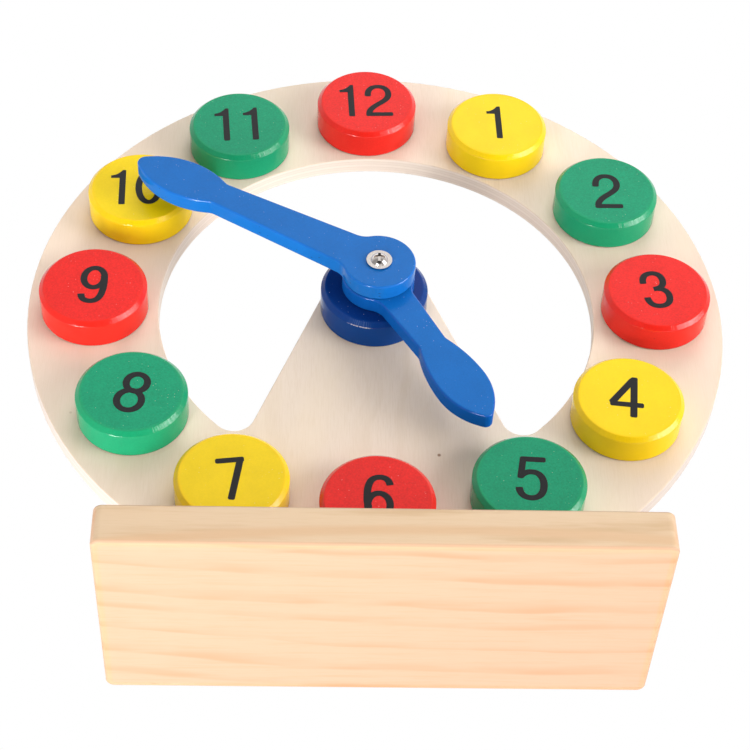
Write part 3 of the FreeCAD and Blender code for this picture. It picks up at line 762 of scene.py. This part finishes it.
# Each numeral: its digits with their places to the right, its turn in degrees, anticlockwise from the
# front, and where its middle sits off the block's middle, to the right and up.
NUMERALS = {
    1: ([("1", 0.0)], 1.0, (-0.4, 0.8)),
    2: ([("2", 0.0)], 1.0, (0.1, -0.4)),
    3: ([("3", 0.0)], 8.0, (-0.45, 0.0)),
    4: ([("4", 0.0)], -6.0, (-0.6, 0.0)),
    5: ([("5", 0.0)], -3.0, (0.4, 0.0)),
    6: ([("6", 0.0)], -0.5, (0.2, 0.6)),
    7: ([("7", 0.0)], 7.0, (-0.5, -0.6)),
    8: ([("8", 0.0)], -15.0, (0.45, -0.35)),
    9: ([("9", 0.0)], -3.0, (0.1, 0.15)),
    10: ([("1", -6.3), ("0", 2.9)], 2.0, (0.0, 0.0)),
    11: ([("1", -5.25), ("1", 3.9)], 4.5, (0.15, 0.0)),
    12: ([("1", -6.0), ("2", 3.8)], 2.5, (0.0, 0.5)),
}


def merged(outlines):
    """Points and triangles of the area that any of the outlines covers."""
    points, polygons = [], []
    for outline in outlines:
        area = sum(a[0] * b[1] - b[0] * a[1] for a, b in zip(outline, outline[1:] + outline[:1]))
        ordered = outline if area > 0 else outline[::-1]
        polygons.append(list(range(len(points), len(points) + len(ordered))))
        points.extend(Vector(point) for point in ordered)
    found = delaunay_2d_cdt(points, [], polygons, EVERY_TRIANGLE, SAME_POINT)
    places, triangles, sources = found[0], found[2], found[5]
    return places, [triangle for triangle, source in zip(triangles, sources) if source]


def add_piece(name, mesh, material):
    """Turn a bmesh into an object of the scene."""
    data = bpy.data.meshes.new(name)
    mesh.to_mesh(data)
    mesh.free()
    data.materials.append(material)
    piece = bpy.data.objects.new(name, data)
    bpy.context.scene.collection.objects.link(piece)
    return piece


def add_print(mesh, points, triangles, place):
    """Add the flat shape to the mesh where place puts its points, and give it the ink's thickness."""
    corners = [mesh.verts.new(place(point)) for point in points]
    for triangle in triangles:
        mesh.faces.new([corners[i] for i in triangle])
    bmesh.ops.recalc_face_normals(mesh, faces=mesh.faces)
    if mesh.faces[0].normal.y > 0:
        bmesh.ops.reverse_faces(mesh, faces=mesh.faces)
    grown = bmesh.ops.extrude_face_region(mesh, geom=list(mesh.faces), use_keep_orig=True)
    moved = [item for item in grown["geom"] if isinstance(item, bmesh.types.BMVert)]
    bmesh.ops.translate(mesh, verts=moved, vec=(0, (INK_RISE + INK_SINK) * MM, 0))
    bmesh.ops.recalc_face_normals(mesh, faces=mesh.faces)


def make_numeral(hour, shapes, material):
    """A thin raised print on the number block's face."""
    digits, turn, (right, up) = NUMERALS[hour]
    outlines = [
        [(x + shift, y) for x, y in outline]
        for digit, shift in digits
        for outline in shapes[digit]
    ]
    low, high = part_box(f"number_block_{hour}")
    middle = (low + high) / 2
    spin = Matrix.Rotation(math.radians(turn), 2)

    def place(point):
        x, z = spin @ point
        return (middle.x + (right + x) * MM, low.y - INK_RISE * MM, middle.z + (up + z) * MM)

    mesh = bmesh.new()
    points, triangles = merged(outlines)
    add_print(mesh, points, triangles, place)
    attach(add_piece(f"numeral_{hour}", mesh, material), f"number_block_{hour}")


# ---------------------------------------------------------------- dressing the clock

def wear(node, material):
    """Give a CAD node's object its finish."""
    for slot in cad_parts[node].material_slots:
        slot.link = "OBJECT"
        slot.material = material


def dress_hands_and_hub():
    blue = make_paint(
        "blue_gloss", BLUE_FACE, BLUE_SIDE, mottle=0.3, turned=False,
        sheen=0.25, side_sheen=0.1, scars=0.7,
    )
    # The hour hand is the same blue, with its side painted darker: painted shade.
    blue_shaded_side = make_paint(
        "blue_gloss_shaded_side", BLUE_FACE, BLUE_SIDE_SHADED, mottle=0.3, turned=False,
        sheen=0.2, side_sheen=0.012, scars=0.5,
    )
    # The hub's chamfer carries a painted glint.
    navy = make_paint(
        "navy_gloss", NAVY_FACE, NAVY_SIDE, mottle=0.4,
        sheen=0.2, side_sheen=0.08, glint_strength=0.7,
    )
    wear("minute_hand", blue)
    wear("hour_hand", blue_shaded_side)
    wear("hub_block", navy)
    wear("centre_screw", make_steel())


def dress_number_blocks():
    red = make_paint("red_gloss", RED_FACE, RED_SIDE, mottle=0.6)
    yellow = make_paint("yellow_gloss", YELLOW_FACE, YELLOW_SIDE, mottle=0.15)
    green = make_paint("green_gloss", GREEN_FACE, GREEN_SIDE, mottle=0.75)
    cycle = (red, yellow, green)
    dowel = make_dowel()
    ink = make_ink()
    shapes = digit_shapes()
    for hour in HOURS:
        wear(f"number_block_{hour}", cycle[hour % len(cycle)])
        wear(f"block_peg_{hour}", dowel)
        make_numeral(hour, shapes, ink)


# ---------------------------------------------------------------- floor

# The floor lies a hair below the foot, and its opening is a lap smaller than the foot on each side. It fades
# to white over these distances from the origin.
FLOOR_REACH = 3.0
FLOOR_DROP = 0.0002
FLOOR_LAP = 0.002
FLOOR_FADE = (0.2, 0.75)


def make_floor_paint():
    """Matte and pale near the clock, where it holds the shadow, white to the camera further out.

    It is clear from below, because the clock may be looked at from under its foot.
    """
    g = Paint("floor_pale")
    x, y, _ = g.split(g.node("TexCoord").outputs["Object"])
    seen = g.node("LightPath").outputs["Is Camera Ray"]
    fade = g.times(g.ramp(g.hypotenuse(x, y), *FLOOR_FADE), seen)
    matte = g.node("BsdfDiffuse", {"Color": FLOOR_GREY})
    white = g.node("Emission", {"Color": WHITE, "Strength": 1.0})
    upper = g.node("MixShader", {0: fade, 1: matte.outputs[0], 2: white.outputs[0]})
    clear = g.node("BsdfTransparent")
    behind = g.node("NewGeometry").outputs["Backfacing"]
    g.surface(g.node("MixShader", {0: behind, 1: upper.outputs[0], 2: clear.outputs[0]}))
    return g.material


def make_floor():
    """A flat floor with an opening under the foot, so that light reaches the underside."""
    low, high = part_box("base_block")
    xs = (-FLOOR_REACH, low.x + FLOOR_LAP, high.x - FLOOR_LAP, FLOOR_REACH)
    ys = (-FLOOR_REACH, low.y + FLOOR_LAP, high.y - FLOOR_LAP, FLOOR_REACH)
    mesh = bmesh.new()
    grid = [[mesh.verts.new((x, y, -FLOOR_DROP)) for x in xs] for y in ys]
    under_foot = (1, 1)
    for row in range(len(ys) - 1):
        for column in range(len(xs) - 1):
            if (row, column) != under_foot:
                near, far = grid[row], grid[row + 1]
                mesh.faces.new((near[column], near[column + 1], far[column + 1], far[column]))
    floor = add_piece("floor", mesh, make_floor_paint())
    floor.visible_shadow = False
    floor.visible_glossy = False


# ---------------------------------------------------------------- light and camera

# The lamps face AIM. The camera's place is in metres, its turn in degrees and its lens in millimetres.
AIM = Vector((0.0, -0.01, 0.107))
CAMERA_PLACE = (-0.0220, -0.4402, -0.2947)
CAMERA_TURN = (130.816, 0.698, -2.169)
CAMERA_LENS = 94.785
CAMERA_NEAR = 0.01

# Each lamp: its clock angle and its lift off the dial's plane in degrees, its distance, width and height in
# metres, its power in watts, and whether it shows in gloss.
LAMPS = {
    "lamp_key": (107, 23, 1.3, 0.82, 0.66, 14.6, True),
    "lamp_low": (208, 8, 1.0, 0.64, 0.18, 10.6, True),
    "lamp_high": (15, 32, 1.2, 0.80, 0.60, 5.5, False),
    "lamp_front": (10, 66, 1.3, 1.00, 1.00, 4.9, False),
}

# The room's light, and what gloss shows of it: by how high it looks, and by how near to the dark end.
WORLD_LEVEL = 0.53
WORLD_IN_VIEW = 1.0
GLOSS_LEVEL = 0.35
GLOSS_ABOVE = 0.88
GLOSS_BELOW = 0.60
GLOSS_BELOW_SPAN = (-0.72, -0.92)
DARK_END_SPAN = (0.86, 0.96)
DARK_END_LEVEL = 0.1


def make_lamp(name, clock_angle, lift, distance, width, height, power, glossy):
    """A soft lamp that faces the dial. Its clock angle runs as the hours do."""
    lamp = bpy.data.lights.new(name, "AREA")
    lamp.shape = "RECTANGLE"
    lamp.size = width
    lamp.size_y = height
    lamp.energy = power
    item = bpy.data.objects.new(name, lamp)
    bpy.context.scene.collection.objects.link(item)
    turn, rise = math.radians(clock_angle), math.radians(lift)
    ray = Vector((math.cos(rise) * math.sin(turn), -math.sin(rise), math.cos(rise) * math.cos(turn)))
    item.location = AIM + ray * distance
    item.rotation_euler = ray.to_track_quat("Z", "Y").to_euler()
    item.visible_camera = False
    item.visible_glossy = glossy


def world_in_gloss(g, direction, up):
    """What gloss shows of the room: brighter upward, a pale ground and a dark end, low in front."""
    sheen = g.math("MULTIPLY_ADD", g.math("MAXIMUM", up, 0.0), GLOSS_ABOVE, GLOSS_LEVEL)
    sheen = g.plus(sheen, g.ramp(up, *GLOSS_BELOW_SPAN, 0.0, GLOSS_BELOW))
    dark_end = (Vector(CAMERA_PLACE) - AIM).normalized()
    toward_it = g.node("VectorMath", {0: direction, 1: dark_end}, operation="DOT_PRODUCT").outputs["Value"]
    return g.times(sheen, g.ramp(toward_it, *DARK_END_SPAN, 1.0, DARK_END_LEVEL))


def make_world():
    """White to the camera. Its light comes mostly from behind the dial."""
    world = bpy.data.worlds.new("studio")
    bpy.context.scene.world = world
    g = Graph(world, "OutputWorld")
    ray = g.node("LightPath").outputs
    direction = g.node("TexCoord").outputs["Generated"]
    _, back, up = g.split(direction)
    soft = g.math("MULTIPLY_ADD", back, WORLD_LEVEL, WORLD_LEVEL)
    level = g.choose(ray["Is Glossy Ray"], soft, world_in_gloss(g, direction, up))
    shown = g.choose(ray["Is Camera Ray"], level, WORLD_IN_VIEW)
    g.surface(g.node("Background", {"Color": WHITE, "Strength": shown}))


def make_camera():
    """Below and in front of the foot, looking up at the dial."""
    camera = bpy.data.cameras.new("camera")
    camera.lens = CAMERA_LENS
    camera.clip_start = CAMERA_NEAR
    item = bpy.data.objects.new("camera", camera)
    bpy.context.scene.collection.objects.link(item)
    item.location = CAMERA_PLACE
    item.rotation_euler = Euler([math.radians(turn) for turn in CAMERA_TURN])
    bpy.context.scene.camera = item


# ---------------------------------------------------------------- the whole scene

wear("base_block", make_pine())
wear("dial_plate", make_plywood())
dress_hands_and_hub()
dress_number_blocks()
make_floor()
for lamp_name, lamp_facts in LAMPS.items():
    make_lamp(lamp_name, *lamp_facts)
make_world()
make_camera()
bpy.context.scene.view_settings.view_transform = "Standard"
